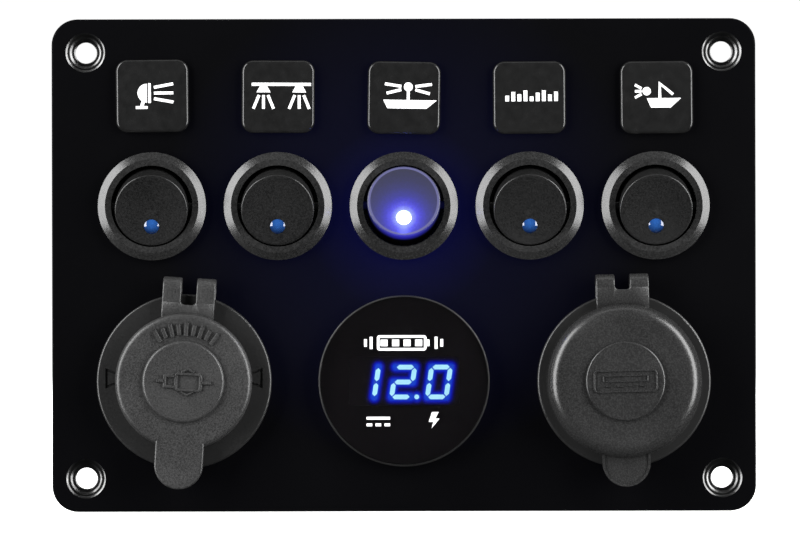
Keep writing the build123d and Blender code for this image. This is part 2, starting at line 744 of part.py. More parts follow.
def save_switch(number, x):
    """All the pieces of one switch, with the button and see-saw at their resting tilt."""
    tilt_sign = -1 if number in SWITCHES_ON else 1
    rocker_angle = tilt_sign * ROCKER_TILT
    lever_angle = -tilt_sign * LEVER_TILT
    save(f"switch_housing_{number}", place(switch_housing(), x, SWITCH_Y))
    for name, pieces in (
        ("rocker", [rocker()]),
        ("indicator_lens", [indicator_lens()]),
        ("spring_plunger", spring_plunger()),
    ):
        moved = [place(tilt(piece, PIVOT_Z, rocker_angle), x, SWITCH_Y) for piece in pieces]
        save(f"{name}_{number}", *moved)
    lever = tilt(contact_lever(), LEVER_PIVOT_Z, lever_angle)
    save(f"contact_lever_{number}", place(lever, x, SWITCH_Y))
    blades = [place(piece, x, SWITCH_Y) for piece in switch_terminals()]
    save(f"switch_terminals_{number}", *blades)


def save_at_socket(x, turn=0.0, **pieces):
    """Pieces drawn about a socket's centre, turned in it and saved under their keyword names."""
    for name, solids in pieces.items():
        group = solids if isinstance(solids, (tuple, list)) else [solids]
        save(name, *[place(Rot(0, 0, turn) * solid, x, SOCKET_Y) for solid in group])


def main():
    os.makedirs("parts", exist_ok=True)
    save("front_panel", front_panel())
    for number, spot in enumerate(LABEL_SPOTS, start=1):
        save(f"label_{number}", label(*spot))
    for number, x in enumerate(SWITCH_XS, start=1):
        save_switch(number, x)
    nuts = [place(ring_nut(), x, SOCKET_Y) for x in (OUTLET_X, METER_X, CHARGER_X)]
    save("ring_nuts", *nuts)
    save_at_socket(
        OUTLET_X,
        outlet_housing=outlet_housing(),
        outlet_contact_sleeve=outlet_contact_sleeve(),
        outlet_insulator=outlet_insulator(),
        outlet_centre_contact=outlet_centre_contact(),
        outlet_terminals=outlet_terminals(),
    )
    save_at_socket(
        OUTLET_X,
        OUTLET_CAP_TURN,
        outlet_strap_ring=strap_root(OUTLET_FLANGE_R - 0.4, OUTLET_STRAP_TOP),
        outlet_strap_end=strap_end(OUTLET_STRAP_TOP, OUTLET_BRIDGE_Y, OUTLET_CAP_R),
        outlet_cap=outlet_cap(),
    )
    save_at_socket(
        METER_X,
        meter_housing=meter_housing(),
        meter_lens=meter_lens(),
        meter_display=meter_display(),
        meter_board=meter_board(),
        meter_rear_cover=rear_cover(METER_DEPTH, METER_BORE_R),
        meter_terminals=meter_terminals(),
    )
    save_at_socket(
        CHARGER_X,
        charger_housing=charger_housing(),
        charger_port_shells=[charger_port_shell(side * PORT_PITCH / 2) for side in (-1, 1)],
        charger_port_tongues=[charger_port_tongue(side * PORT_PITCH / 2) for side in (-1, 1)],
        charger_board=charger_board(),
        charger_rear_cover=rear_cover(CHARGER_DEPTH, CHARGER_BORE_R),
        charger_terminals=charger_terminals(),
    )
    save_at_socket(
        CHARGER_X,
        CHARGER_CAP_TURN,
        charger_strap_ring=strap_root(CHARGER_FLANGE_R - 0.4, CHARGER_STRAP_TOP),
        charger_strap_end=strap_end(CHARGER_STRAP_TOP, CHARGER_BRIDGE_Y, CHARGER_CAP_R),
        charger_cap=charger_cap(),
    )


main()
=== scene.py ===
"""Looks for a black rocker-switch panel with a 12 V outlet, a battery voltmeter and a charger.

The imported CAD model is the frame: metres, X to the user's right, Z up, and the front faces -Y.
Marks and straps are drawn in millimetres on a face: u to the right, v up, h out of the face.
"""

import json
import math

import bpy
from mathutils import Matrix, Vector

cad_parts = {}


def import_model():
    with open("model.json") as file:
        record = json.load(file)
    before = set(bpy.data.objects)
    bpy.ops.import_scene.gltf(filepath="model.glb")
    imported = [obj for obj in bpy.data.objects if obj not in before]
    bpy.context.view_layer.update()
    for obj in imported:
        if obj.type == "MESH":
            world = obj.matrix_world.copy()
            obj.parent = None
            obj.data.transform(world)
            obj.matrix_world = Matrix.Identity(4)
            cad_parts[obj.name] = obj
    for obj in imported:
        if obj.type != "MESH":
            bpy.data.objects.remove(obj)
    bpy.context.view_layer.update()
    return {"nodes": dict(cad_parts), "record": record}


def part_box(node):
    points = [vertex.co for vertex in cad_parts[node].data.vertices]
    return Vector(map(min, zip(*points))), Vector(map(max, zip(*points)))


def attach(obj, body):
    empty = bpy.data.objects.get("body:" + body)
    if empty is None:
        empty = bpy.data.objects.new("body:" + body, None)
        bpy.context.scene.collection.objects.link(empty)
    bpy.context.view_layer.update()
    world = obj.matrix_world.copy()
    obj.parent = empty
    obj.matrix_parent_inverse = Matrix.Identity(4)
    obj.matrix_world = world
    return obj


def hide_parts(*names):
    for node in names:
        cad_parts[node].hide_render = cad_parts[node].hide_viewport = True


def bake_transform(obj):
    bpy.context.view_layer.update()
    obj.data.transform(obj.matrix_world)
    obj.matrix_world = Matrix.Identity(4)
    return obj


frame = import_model()
MM = 0.001
nodes = frame["nodes"]


# ---------------------------------------------------------------- reading the frame

def middle(node):
    """The centre of a CAD node's box."""
    low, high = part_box(node)
    return (low + high) / 2


def front_y(node):
    """The y of a CAD node's foremost point."""
    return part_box(node)[0].y


class Spot:
    """A place on a face that looks towards -Y, turned anticlockwise by some degrees."""

    def __init__(self, x, y, z, turn=0.0):
        self.x = x
        self.y = y
        self.z = z
        self.cos = math.cos(math.radians(turn))
        self.sin = math.sin(math.radians(turn))

    def at(self, u, v, h):
        x = self.x + (u * self.cos - v * self.sin) * MM
        z = self.z + (u * self.sin + v * self.cos) * MM
        return (x, self.y - h * MM, z)


# ---------------------------------------------------------------- node helpers for materials

class Graph:
    """A material's node tree with short ways to add the nodes used here."""

    def __init__(self, name):
        self.material = bpy.data.materials.new(name)
        self.material.use_nodes = True
        self.tree = self.material.node_tree
        self.tree.nodes.clear()
        self.output = self.tree.nodes.new("ShaderNodeOutputMaterial")
        self.place = self.tree.nodes.new("ShaderNodeTexCoord").outputs["Object"]

    def link(self, source, target):
        self.tree.links.new(source, target)

    def node(self, kind, **settings):
        made = self.tree.nodes.new(kind)
        for key, value in settings.items():
            setattr(made, key, value)
        return made

    def noise(self, per_metre, detail=3.0, roughness=0.55):
        """Noise over the object, with this many bumps a metre."""
        made = self.node("ShaderNodeTexNoise")
        made.inputs["Scale"].default_value = per_metre
        made.inputs["Detail"].default_value = detail
        made.inputs["Roughness"].default_value = roughness
        self.link(self.place, made.inputs["Vector"])
        return made.outputs["Fac"]

    def distance_from(self, point):
        """Metres from a fixed point."""
        made = self.node("ShaderNodeVectorMath", operation="DISTANCE")
        self.link(self.place, made.inputs[0])
        made.inputs[1].default_value = point
        return made.outputs["Value"]

    def axes(self):
        """The x, y and z of the shaded point."""
        made = self.node("ShaderNodeSeparateXYZ")
        self.link(self.place, made.inputs[0])
        return made.outputs

    def ramp(self, source, *stops):
        """A colour ramp from (position, colour) stops; a colour may be one grey number."""
        made = self.node("ShaderNodeValToRGB")
        elements = made.color_ramp.elements
        while len(elements) < len(stops):
            elements.new(0.5)
        for element, (position, colour) in zip(elements, stops):
            element.position = position
            if isinstance(colour, (int, float)):
                colour = (colour, colour, colour)
            element.color = (*colour, 1.0)
        self.link(source, made.inputs["Fac"])
        return made.outputs["Color"]

    def math(self, operation, a, b=None):
        made = self.node("ShaderNodeMath", operation=operation)
        for socket, value in zip(made.inputs, (a, b)):
            if value is None:
                continue
            if isinstance(value, (int, float)):
                socket.default_value = value
            else:
                self.link(value, socket)
        return made.outputs["Value"]

    def scaled(self, source, low, high):
        """Map 0..1 to low..high."""
        made = self.node("ShaderNodeMapRange")
        made.inputs["To Min"].default_value = low
        made.inputs["To Max"].default_value = high
        self.link(source, made.inputs["Value"])
        return made.outputs["Result"]

    def bump(self, height, depth_mm, strength=1.0):
        """A normal raised by a height that runs from 0 to 1."""
        made = self.node("ShaderNodeBump")
        made.inputs["Strength"].default_value = strength
        made.inputs["Distance"].default_value = depth_mm * MM
        self.link(height, made.inputs["Height"])
        return made.outputs["Normal"]

    def shader(self, **values):
        """A Principled shader whose constants are set on its own sockets."""
        made = self.node("ShaderNodeBsdfPrincipled")
        for key, value in values.items():
            socket = made.inputs[key.replace("_", " ")]
            if isinstance(value, bpy.types.NodeSocket):
                self.link(value, socket)
            elif isinstance(value, tuple):
                socket.default_value = (*value, 1.0)
            else:
                socket.default_value = value
        return made.outputs["BSDF"]

    def mixed(self, mask, first, second):
        """The second shader where the mask is 1, and the first elsewhere."""
        made = self.node("ShaderNodeMixShader")
        self.link(mask, made.inputs[0])
        self.link(first, made.inputs[1])
        self.link(second, made.inputs[2])
        return made.outputs[0]

    def finish(self, surface):
        self.link(surface, self.output.inputs["Surface"])
        return self.material


GLOSS_SPREAD = 0.08


def grained(name, dark, light, roughness, grain_mm, depth_mm, specular=0.5, coat=0.0, patch=60):
    """Moulded plastic or rubber: slow colour patches, and fine grain in colour, gloss and height."""
    grain_share = 0.7
    graph = Graph(name)
    grain = graph.noise(1 / (grain_mm * MM), 4.0, 0.6)
    slow = graph.noise(patch, 3.0)
    fine_part = graph.math("MULTIPLY", grain, grain_share)
    slow_part = graph.math("MULTIPLY", slow, 1 - grain_share)
    both = graph.math("ADD", fine_part, slow_part)
    surface = graph.shader(
        Base_Color=graph.ramp(both, (0.36, dark), (0.64, light)),
        Roughness=graph.scaled(grain, roughness - GLOSS_SPREAD, roughness + GLOSS_SPREAD),
        Specular_IOR_Level=specular,
        Coat_Weight=coat,
        Coat_Roughness=0.15,
        Normal=graph.bump(grain, depth_mm),
    )
    return graph.finish(surface)


def metal(name, dark, light, roughness):
    """Plated or bare sheet metal: faint fine texture and dull patches."""
    line_depth_mm = 0.004
    graph = Graph(name)
    lines = graph.noise(2500, 4.0, 0.6)
    slow = graph.noise(180, 4.0)
    surface = graph.shader(
        Base_Color=graph.ramp(slow, (0.3, dark), (0.7, light)),
        Metallic=1.0,
        Roughness=graph.scaled(slow, roughness - GLOSS_SPREAD, roughness + 0.1),
        Normal=graph.bump(lines, line_depth_mm),
    )
    return graph.finish(surface)


# ---------------------------------------------------------------- mesh helpers

def mesh_object(name, verts, faces, material, smooth=True):
    data = bpy.data.meshes.new(name)
    data.from_pydata(verts, [], faces)
    data.validate()
    data.materials.append(material)
    for polygon in data.polygons:
        polygon.use_smooth = smooth
    made = bpy.data.objects.new(name, data)
    bpy.context.scene.collection.objects.link(made)
    return made


def soften(piece, width_mm, segments=2, angle=35):
    """Round a piece's sharp edges."""
    bevel = piece.modifiers.new("edge", "BEVEL")
    bevel.width = width_mm * MM
    bevel.segments = segments
    bevel.limit_method = "ANGLE"
    bevel.angle_limit = math.radians(angle)
    bevel.harden_normals = True
    return piece


def arc(radius, start, end, count, cu=0.0, cv=0.0):
    """Points on an arc, in degrees anticlockwise from the right."""
    points = []
    for index in range(count + 1):
        angle = math.radians(start + (end - start) * index / count)
        points.append((cu + radius * math.cos(angle), cv + radius * math.sin(angle)))
    return points


def rounded_box(half_u, half_v, radius, cu=0.0, cv=0.0, count=6):
    """The closed outline of a rounded rectangle, anticlockwise."""
    points = []
    for quarter, (su, sv) in enumerate(((1, 1), (-1, 1), (-1, -1), (1, -1))):
        corner_u = cu + su * (half_u - radius)
        corner_v = cv + sv * (half_v - radius)
        points += arc(radius, quarter * 90, quarter * 90 + 90, count, corner_u, corner_v)
    return points


def offset(points, distance, closed):
    """The line moved to its left by a distance, with mitred corners."""
    moved = []
    count = len(points)
    for index, (u, v) in enumerate(points):
        sides = []
        for step in (-1, 0):
            a = index + step
            b = a + 1
            if closed:
                a %= count
                b %= count
            elif a < 0 or b >= count:
                continue
            du = points[b][0] - points[a][0]
            dv = points[b][1] - points[a][1]
            length = math.hypot(du, dv)
            if length > 1e-9:
                sides.append((-dv / length, du / length))
        nu = sum(side[0] for side in sides) / len(sides)
        nv = sum(side[1] for side in sides) / len(sides)
        size = max(nu * nu + nv * nv, 0.25)
        moved.append((u + distance * nu / size, v + distance * nv / size))
    return moved


class Relief:
    """Marks that stand on a face, gathered into one mesh."""

    def __init__(self, spot, low, high, draft=0.0):
        self.spot = spot
        self.low = low
        self.high = high
        self.draft = draft
        self.verts = []
        self.faces = []

    def add(self, points, height):
        first = len(self.verts)
        self.verts += [self.spot.at(u, v, height) for u, v in points]
        return list(range(first, first + len(points)))

    def plate(self, points):
        """A filled closed outline, anticlockwise."""
        base = self.add(points, self.low)
        top = self.add(offset(points, self.draft, True), self.high)
        count = len(points)
        self.faces.append(top)
        self.faces.append(base[::-1])
        for a in range(count):
            b = (a + 1) % count
            self.faces.append([base[a], base[b], top[b], top[a]])

    def stroke(self, points, width, closed=False):
        """A line of even width along some points."""
        half = width / 2
        rows = [
            self.add(offset(points, half, closed), self.low),
            self.add(offset(points, half - self.draft, closed), self.high),
            self.add(offset(points, self.draft - half, closed), self.high),
            self.add(offset(points, -half, closed), self.low),
        ]
        count = len(points)
        for a in range(count if closed else count - 1):
            b = (a + 1) % count
            for side in range(4):
                near = rows[side]
                far = rows[(side + 1) % 4]
                self.faces.append([near[a], near[b], far[b], far[a]][::-1])
        if not closed:
            self.faces.append([row[0] for row in rows])
            self.faces.append([row[-1] for row in rows][::-1])

    def dot(self, radius, u, v):
        self.plate(arc(radius, 0, 360, 20, u, v)[:-1])

    def piece(self, name, material, body, slot):
        made = mesh_object(name, self.verts, self.faces, material, smooth=False)
        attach(made, body)
        return made


class Shells:
    """Closed shells in (u, v, h) millimetres about a spot, gathered into one mesh."""

    def __init__(self, spot):
        self.spot = spot
        self.verts = []
        self.faces = []

    def loops(self, loops, closed=False):
        """Skin a row of point loops, and cap the ends."""
        first = len(self.verts)
        count = len(loops[0])
        for loop in loops:
            self.verts += [self.spot.at(*point) for point in loop]
        pairs = len(loops) if closed else len(loops) - 1
        for row in range(pairs):
            here = first + row * count
            there = first + ((row + 1) % len(loops)) * count
            for a in range(count):
                b = (a + 1) % count
                self.faces.append([here + a, here + b, there + b, there + a])
        if not closed:
            self.faces.append([first + a for a in range(count)][::-1])
            last = first + (len(loops) - 1) * count
            self.faces.append([last + a for a in range(count)])


# ---------------------------------------------------------------- materials

GLOW_PAINTED_BUTTON_NODE = "rocker_3"
LIT_LENS_NODE = "indicator_lens_3"
ROCKER_TILT = 16.0
SCREW_X = 0.0678
SCREW_Z = 0.0454
SINK_R = 0.0042
SINK_RAG = 0.00016
SINK_GROOVE_PITCH = 0.0009
# Reach and back limit of the painted blue lamp light on the panel's front.
PAINTED_HAZE_REACH = 0.052
PAINTED_HAZE_BACK_Y = -0.0015


def coated_panel():
    """Black powder coat, with a painted blue glow of lamp light round the lit lamp, and bare turned
    countersinks.
    """
    graph = Graph("panel_coat")
    place = graph.axes()
    across = graph.math("SUBTRACT", graph.math("ABSOLUTE", place["X"]), SCREW_X)
    up = graph.math("SUBTRACT", graph.math("ABSOLUTE", place["Z"]), SCREW_Z)
    square = graph.math("ADD", graph.math("MULTIPLY", across, across), graph.math("MULTIPLY", up, up))
    distance = graph.math("SQRT", square)
    rag = graph.math("MULTIPLY", graph.noise(900, 3.0), SINK_RAG)
    bare = graph.math("LESS_THAN", graph.math("ADD", distance, rag), SINK_R + SINK_RAG / 2)
    fine = graph.noise(2600, 3.0, 0.6)
    slow = graph.noise(22, 3.0)
    # Painted light: the lit lamp's blue glow, painted as emission on the panel and fading with distance
    # from the lens.
    painted_lamp_haze = graph.ramp(
        graph.math("DIVIDE", graph.distance_from(middle(LIT_LENS_NODE)), PAINTED_HAZE_REACH),
        (0.0, (0.0018, 0.0022, 0.036)),
        (0.2, (0.0016, 0.0020, 0.030)),
        (0.4, (0.0010, 0.0012, 0.010)),
        (1.0, (0.0003, 0.0003, 0.0006)),
    )
    in_front = graph.math("LESS_THAN", place["Y"], PAINTED_HAZE_BACK_Y)
    coat = graph.shader(
        Base_Color=graph.ramp(slow, (0.3, (0.0008, 0.0008, 0.0010)), (0.7, (0.0015, 0.0015, 0.0018))),
        Roughness=graph.scaled(fine, 0.40, 0.50),
        Specular_IOR_Level=0.05,
        Emission_Color=painted_lamp_haze,
        Emission_Strength=graph.math("MULTIPLY", in_front, graph.scaled(fine, 0.8, 1.2)),
        Normal=graph.bump(fine, 0.010, 0.6),
    )
    grooves = graph.math("SINE", graph.math("MULTIPLY", distance, 2 * math.pi / SINK_GROOVE_PITCH))
    turned = graph.shader(
        Base_Color=graph.ramp(graph.noise(400, 3.0), (0.3, 0.055), (0.7, 0.13)),
        Metallic=1.0,
        Roughness=0.30,
        Normal=graph.bump(grooves, 0.05, 1.0),
    )
    return graph.finish(graph.mixed(bare, coat, turned))


# Reach of the painted glow on the lit button, and the depths over which the painted glow and the face's
# lighter colour give way to the walls' painted shade.
PAINTED_GLOW_REACH = 0.014
GLOW_FULL_DEPTH = 0.0005
GLOW_END_DEPTH = 0.0034
RIM_DEPTH = 0.000012


def rocker_with_painted_glow():
    """The button of the switch that is on: blue lamp light is painted as a glow on its face round the
    lamp, its rim has a painted highlight, and its walls are painted darker as shade.

    Depth is measured back, along Y, from a plane with the face's tilt on the button's rim.
    """
    graph = Graph("rocker_lit_painted_glow")
    # Painted light: the lamp's blue light painted as emission on the button, fading with distance from
    # the lens.
    painted_glow = graph.ramp(
        graph.math("DIVIDE", graph.distance_from(middle(LIT_LENS_NODE)), PAINTED_GLOW_REACH),
        (0.0, (0.90, 0.96, 1.0)),
        (0.10, (0.60, 0.70, 0.95)),
        (0.15, (0.24, 0.29, 0.88)),
        (0.21, (0.07, 0.065, 0.78)),
        (0.28, (0.026, 0.022, 0.52)),
        (0.36, (0.014, 0.014, 0.28)),
        (0.48, (0.009, 0.010, 0.14)),
        (0.60, (0.006, 0.007, 0.08)),
        (0.78, (0.003, 0.004, 0.04)),
    )
    place = graph.axes()
    lean = math.tan(math.radians(ROCKER_TILT))
    plane = graph.math("SUBTRACT", place["Y"], graph.math("MULTIPLY", place["Z"], lean))
    corners = nodes[GLOW_PAINTED_BUTTON_NODE].data.vertices
    rim_level = min(corner.co.y - corner.co.z * lean for corner in corners)
    depth = graph.math("SUBTRACT", plane, rim_level)
    on_face = graph.node("ShaderNodeMapRange")
    on_face.inputs["From Min"].default_value = GLOW_FULL_DEPTH
    on_face.inputs["From Max"].default_value = GLOW_END_DEPTH
    on_face.inputs["To Min"].default_value = 1.0
    on_face.inputs["To Max"].default_value = 0.0
    graph.link(depth, on_face.inputs["Value"])
    shown = on_face.outputs["Result"]
    rim = graph.math("LESS_THAN", depth, RIM_DEPTH)
    fine = graph.noise(2200, 4.0, 0.65)
    strength = graph.math("MULTIPLY", shown, graph.scaled(fine, 0.65, 1.35))
    # Painted shade: the walls behind the face get a much darker base colour and less gloss than the
    # face.
    body = graph.shader(
        Base_Color=graph.ramp(shown, (0.0, 0.001), (0.9, 0.004), (1.0, 0.026)),
        Roughness=graph.scaled(fine, 0.28, 0.40),
        Specular_IOR_Level=graph.scaled(shown, 0.05, 0.5),
        Emission_Color=painted_glow,
        Emission_Strength=strength,
        Normal=graph.bump(fine, 0.006),
    )
    # Painted highlight: the rim band gets a pale colour and a faint blue emission, standing in for
    # light caught on its edge.
    painted_rim_highlight = graph.shader(
        Base_Color=(0.05, 0.05, 0.06),
        Roughness=graph.scaled(fine, 0.2, 0.3),
        Emission_Color=(0.09, 0.09, 0.30),
        Emission_Strength=0.8,
    )
    return graph.finish(graph.mixed(rim, body, painted_rim_highlight))


def lamp_lens(name, deep, pale, strength, halo=None):
    """Blue lamp lens: colour that pales where it faces the viewer, with an emission that is the lamp's
    light on the lit lens and a faint painted glow on the unlit ones.
    """
    graph = Graph(name)
    facing = graph.node("ShaderNodeLayerWeight")
    facing.inputs["Blend"].default_value = 0.8
    swirl = graph.noise(1500, 2.0)
    mixed = graph.math("ADD", facing.outputs["Facing"], graph.math("MULTIPLY", swirl, 0.15))
    # Emission: the lamp itself on the lit lens; on the unlit lenses, a faint painted glow.
    surface = graph.shader(
        Base_Color=graph.ramp(mixed, (0.05, pale), (0.75, deep)),
        Roughness=0.08,
        Coat_Weight=0.6,
        Coat_Roughness=0.04,
        Emission_Color=graph.ramp(mixed, (0.05, halo or pale), (0.9, deep)),
        Emission_Strength=strength,
        Normal=graph.bump(swirl, 0.003),
    )
    return graph.finish(surface)


def smoked_window():
    """Polished smoked plastic that lets the lit digits through."""
    graph = Graph("smoked_window")
    slow = graph.noise(60, 3.0)
    surface = graph.shader(
        Base_Color=graph.ramp(slow, (0.3, (0.50, 0.46, 0.50)), (0.7, (0.58, 0.54, 0.58))),
        Roughness=graph.scaled(graph.noise(300, 2.0), 0.015, 0.04),
        Transmission_Weight=1.0,
        IOR=1.46,
        Normal=graph.bump(graph.noise(90, 2.0), 0.002, 0.3),
    )
    return graph.finish(surface)


def glowing(name, colour, strength):
    """Lit segments, with a faint unevenness."""
    graph = Graph(name)
    grain = graph.noise(900, 2.0)
    edge = tuple(channel * 0.92 for channel in colour)
    surface = graph.shader(
        Base_Color=(0.05, 0.05, 0.06),
        Roughness=0.4,
        Emission_Color=graph.ramp(grain, (0.3, edge), (0.7, colour)),
        Emission_Strength=strength,
    )
    return graph.finish(surface)


def painted_bloom_material():
    """The painted blue bloom round the lit segments, from the mesh's own painted glow value."""
    graph = Graph("segment_painted_bloom")
    value = graph.node("ShaderNodeAttribute", attribute_name="painted_glow").outputs["Fac"]
    grain = graph.noise(1200, 2.0)
    surface = graph.shader(
        Base_Color=graph.ramp(grain, (0.3, (0.003, 0.002, 0.003)), (0.7, (0.006, 0.004, 0.006))),
        Roughness=0.35,
        # Painted light: blue bloom emitted by the sheet, strongest beside the segments.
        Emission_Color=graph.ramp(
            value,
            (0.0, (0.0, 0.0, 0.0)),
            (0.12, (0.0, 0.0, 0.05)),
            (0.45, (0.0, 0.002, 0.42)),
            (0.8, (0.0, 0.02, 0.85)),
            (1.0, (0.01, 0.10, 1.0)),
        ),
        Emission_Strength=1.1,
    )
    return graph.finish(surface)


def white_print_painted_glow():
    """White ink, brightened by a little painted glow."""
    graph = Graph("white_print_painted_glow")
    grain = graph.noise(1500, 3.0)
    # Painted light: the ink emits a little light, though it is no lamp.
    surface = graph.shader(
        Base_Color=graph.ramp(grain, (0.3, 0.90), (0.7, 0.95)),
        Roughness=graph.scaled(grain, 0.3, 0.45),
        Emission_Color=(1.0, 1.0, 1.0),
        Emission_Strength=0.45,
        Normal=graph.bump(grain, 0.004),
    )
    return graph.finish(surface)


def circuit_board():
    """Green solder resist with copper tracks showing through as paler lines."""
    graph = Graph("circuit_board")
    tracks = graph.node("ShaderNodeTexBrick")
    tracks.inputs["Scale"].default_value = 260
    tracks.inputs["Mortar Size"].default_value = 0.03
    tracks.inputs["Color1"].default_value = (0.010, 0.085, 0.035, 1)
    tracks.inputs["Color2"].default_value = (0.013, 0.10, 0.04, 1)
    tracks.inputs["Mortar"].default_value = (0.05, 0.22, 0.09, 1)
    mapping = graph.node("ShaderNodeMapping")
    mapping.inputs["Rotation"].default_value = (math.radians(90), 0, 0)
    graph.link(graph.place, mapping.inputs["Vector"])
    graph.link(mapping.outputs["Vector"], tracks.inputs["Vector"])
    surface = graph.shader(
        Base_Color=tracks.outputs["Color"],
        Roughness=graph.scaled(graph.noise(500, 2.0), 0.25, 0.4),
        Normal=graph.bump(tracks.outputs["Fac"], 0.02),
    )
    return graph.finish(surface)


MATERIALS = {
    "black_coated_aluminium": coated_panel(),
    "domed_label": grained("domed_label", 0.008, 0.012, 0.20, 2.0, 0.004, 0.35, 0.15, 90),
    "switch_plastic": grained("switch_plastic", 0.010, 0.026, 0.26, 0.45, 0.016, 0.5),
    "rocker_plastic": grained("rocker_plastic", 0.004, 0.018, 0.33, 0.36, 0.022, 0.5),
    # The unlit lenses' faint emission is a painted glow.
    "blue_lens": lamp_lens("blue_lens", (0.002, 0.005, 0.025), (0.016, 0.075, 0.27), 0.04),
    "spring_steel": metal("spring_steel", 0.5, 0.62, 0.28),
    "contact_copper": metal("contact_copper", (0.6, 0.3, 0.17), (0.75, 0.42, 0.26), 0.3),
    "tinned_brass": metal("tinned_brass", (0.62, 0.58, 0.48), (0.76, 0.72, 0.62), 0.32),
    "nut_plastic": grained("nut_plastic", 0.018, 0.026, 0.5, 0.6, 0.012, 0.4),
    "socket_plastic": grained("socket_plastic", 0.012, 0.018, 0.34, 0.5, 0.005, 0.5),
    "sleeve_steel": metal("sleeve_steel", 0.6, 0.78, 0.18),
    "insulator_board": grained(
        "insulator_board", (0.10, 0.045, 0.02), (0.20, 0.10, 0.045), 0.5, 0.8, 0.01
    ),
    "cap_rubber": grained("cap_rubber", 0.014, 0.048, 0.38, 0.34, 0.040, 0.5),
    "charger_rubber": grained("charger_rubber", 0.012, 0.034, 0.27, 0.30, 0.022, 0.5),
    "smoked_window": smoked_window(),
    "display_black": grained("display_black", 0.0016, 0.0030, 0.45, 0.8, 0.004, 0.15),
    "circuit_board": circuit_board(),
    "tongue_plastic": grained("tongue_plastic", 0.62, 0.74, 0.4, 0.8, 0.004),
}
ROCKER_WITH_PAINTED_GLOW = rocker_with_painted_glow()
LIT_LENS = lamp_lens("blue_lens_lit", (0.25, 0.45, 1.0), (0.8, 0.9, 1.0), 3.5, (0.85, 0.93, 1.0))
WHITE = white_print_painted_glow()


def dress_cad():
    """Give every CAD node its finish; the switch that is on has a button with painted lamp light and a
    lit lens.
    """
    for entry in frame["record"]["subparts"]:
        name = entry["node"]
        node = nodes[name]
        material = MATERIALS[entry["material_slot"]]
        if name == GLOW_PAINTED_BUTTON_NODE:
            material = ROCKER_WITH_PAINTED_GLOW
        if name == LIT_LENS_NODE:
            material = LIT_LENS
        node.data.materials.clear()
        node.data.materials.append(material)


# ---------------------------------------------------------------- label pictograms

PRINT_SUNK = 0.02
PRINT_PROUD = 0.03


def spotlight(mark):
    """A spot lamp on its foot, throwing three rays."""
    mark.plate(arc(2.0, 90, 270, 14, -1.7, 0.5))
    mark.stroke([(-1.15, 2.6), (-1.15, -1.6)], 0.55)
    mark.stroke([(-2.5, -1.3), (-2.9, -2.5)], 0.7)
    mark.stroke([(-4.1, -2.55), (-1.6, -2.55)], 0.6)
    for rise in (-1, 0, 1):
        mark.stroke([(-0.2, 0.5 + 1.2 * rise), (3.9, 0.5 + 1.95 * rise)], 0.6)


def deck_lights(mark):
    """A crossbar with two lamps shining down."""
    mark.stroke([(-6.3, 2.5), (6.3, 2.5)], 0.65)
    for u in (-3.8, 3.8):
        mark.plate([(u - 1.5, 0.8), (u + 1.5, 0.8), (u + 0.65, 2.3), (u - 0.65, 2.3)])
        for lean in (-1, 0, 1):
            mark.stroke([(u + 0.95 * lean, 0.2), (u + 2.15 * lean, -2.7)], 0.6)


def hull(mark, bow, stern, deck, keel):
    """A boat's side, with its bow to the right."""
    mark.plate([(stern + 0.9, keel), (bow - 2.2, keel), (bow, deck), (stern, deck)])


def masthead_light(mark):
    """A hull with a lamp at the top of its mast."""
    hull(mark, 6.1, -5.3, -0.9, -2.7)
    mark.stroke([(0, -0.9), (0, 1.2)], 0.6)
    mark.dot(0.95, 0, 1.9)
    for side in (-1, 1):
        mark.stroke([(side * 1.5, 2.0), (side * 5.0, 2.5)], 0.6)
        mark.stroke([(side * 1.5, 1.3), (side * 4.6, 0.5)], 0.6)


def music(mark):
    """A row of level bars."""
    for index, height in enumerate((1.2, 2.0, 1.5, 2.3, 1.0, 1.8, 2.3, 1.4, 2.0)):
        u = (index - 4) * 1.3
        mark.stroke([(u, -1.15), (u, -1.15 + height)], 0.8)


def stern_light(mark):
    """A hull with a lamp shining astern."""
    hull(mark, 4.9, -2.4, -0.5, -2.5)
    mark.stroke([(0.4, -0.5), (0.4, 2.6), (3.2, 0.3)], 0.6)
    mark.dot(0.9, -2.4, 1.0)
    for rise in (-1, 0, 1):
        mark.stroke([(-3.5, 1.0 + 0.6 * rise), (-4.9, 1.0 + 1.35 * rise)], 0.55)


def label_prints():
    """White pictograms over the domed labels, each a little off its label's centre."""
    prints = (
        (1, spotlight, 0.6, 0.1, 0.5),
        (2, deck_lights, 0.7, 0.1, -0.3),
        (3, masthead_light, 0.9, 0.4, -1.0),
        (4, music, 0.45, 0.35, 0.3),
        (5, stern_light, 0.25, 0.3, 0.4),
    )
    for number, draw, right, up, turn in prints:
        node = f"label_{number}"
        centre = middle(node)
        spot = Spot(centre.x + right * MM, front_y(node), centre.z + up * MM, turn)
        mark = Relief(spot, -PRINT_SUNK, PRINT_PROUD)
        draw(mark)
        mark.piece(f"label_print_{number}", WHITE, "panel", "domed_label")


# ---------------------------------------------------------------- voltmeter face

DIGIT_HALF_WIDTH = 2.0
DIGIT_HALF_HEIGHT = 3.17
SEGMENT_WIDTH = 1.0
SEGMENT_GAP = 0.17
DIGIT_SLANT = math.tan(math.radians(8.5))
SEGMENTS = {
    "a": ((-1, 1), (1, 1)),
    "b": ((1, 1), (1, 0)),
    "c": ((1, 0), (1, -1)),
    "d": ((-1, -1), (1, -1)),
    "e": ((-1, 0), (-1, -1)),
    "f": ((-1, 1), (-1, 0)),
    "g": ((-1, 0), (1, 0)),
}
DIGITS = ((-7.9, "bc"), (-0.2, "abged"), (7.4, "abcdef"))
DIGITS_V = -0.25
POINT = (2.67, -3.4)
POINT_R = 0.5
